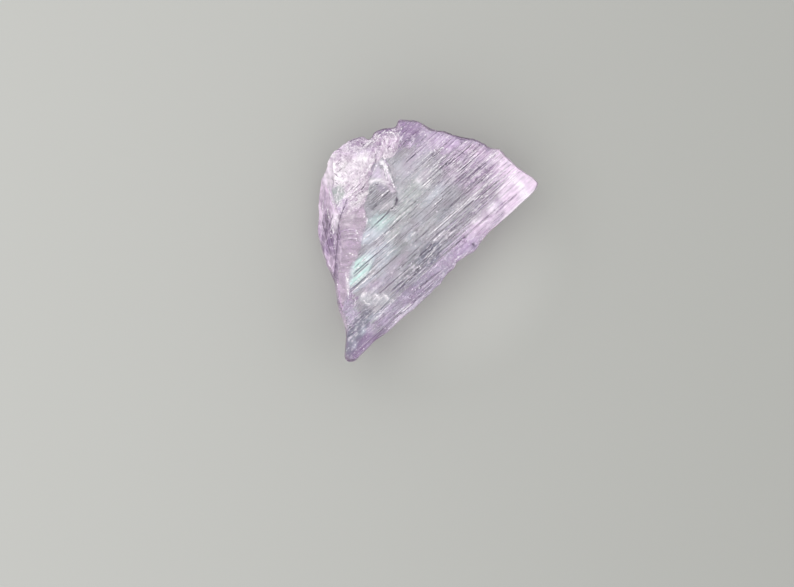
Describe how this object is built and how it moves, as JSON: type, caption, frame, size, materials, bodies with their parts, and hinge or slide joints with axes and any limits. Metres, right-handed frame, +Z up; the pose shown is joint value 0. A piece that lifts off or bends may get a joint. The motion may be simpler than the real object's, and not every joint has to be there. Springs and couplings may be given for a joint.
{
  "type": "kunzite crystal",
  "caption": "Broken wedge of clear pale lilac kunzite with a striated main face, a chipped fracture flank and a flat back to rest on.",
  "frame": {"origin": "middle of the outline's box, on the surface it rests on", "axes": "+Z up out of the striated main face, +Y along the longer side of the outline, +X towards the pointed right tip; the striations run 43.8 degrees from +X towards +Y"},
  "size_m": [0.016, 0.0176, 0.0052],
  "materials": {
    "lilac_kunzite": "clear pale lilac crystal, glossy, striated along its length, shell-like breaks on one side"
  },
  "bodies": {
    "root": {"kunzite_crystal": "lilac_kunzite"}
  },
  "joints": []
}
